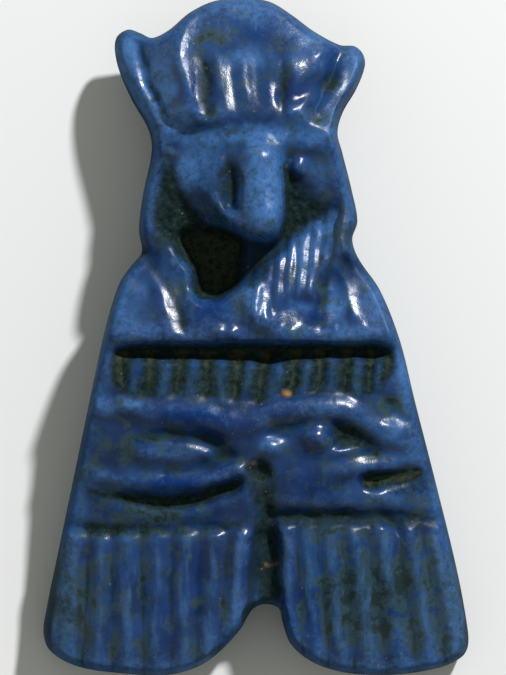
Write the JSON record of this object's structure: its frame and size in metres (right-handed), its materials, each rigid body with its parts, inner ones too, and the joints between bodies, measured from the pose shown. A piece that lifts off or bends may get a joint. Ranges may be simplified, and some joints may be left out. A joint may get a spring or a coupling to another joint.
{
  "type": "fly amulet",
  "caption": "Small flat-backed lapis lazuli amulet: ribbed fly wings under a falcon head with a fluted, horned crown, and a band of eyes across the body.",
  "frame": {"origin": "on the flat back, at the middle of the amulet's length and width", "axes": "+X to the right as the carved front is looked at, +Y from the wing ends to the crown, +Z out of the carved front"},
  "size_m": [0.0152, 0.024, 0.0056],
  "materials": {
    "lapis_lazuli": "polished"
  },
  "bodies": {
    "root": {"amulet": "lapis_lazuli"}
  },
  "joints": []
}
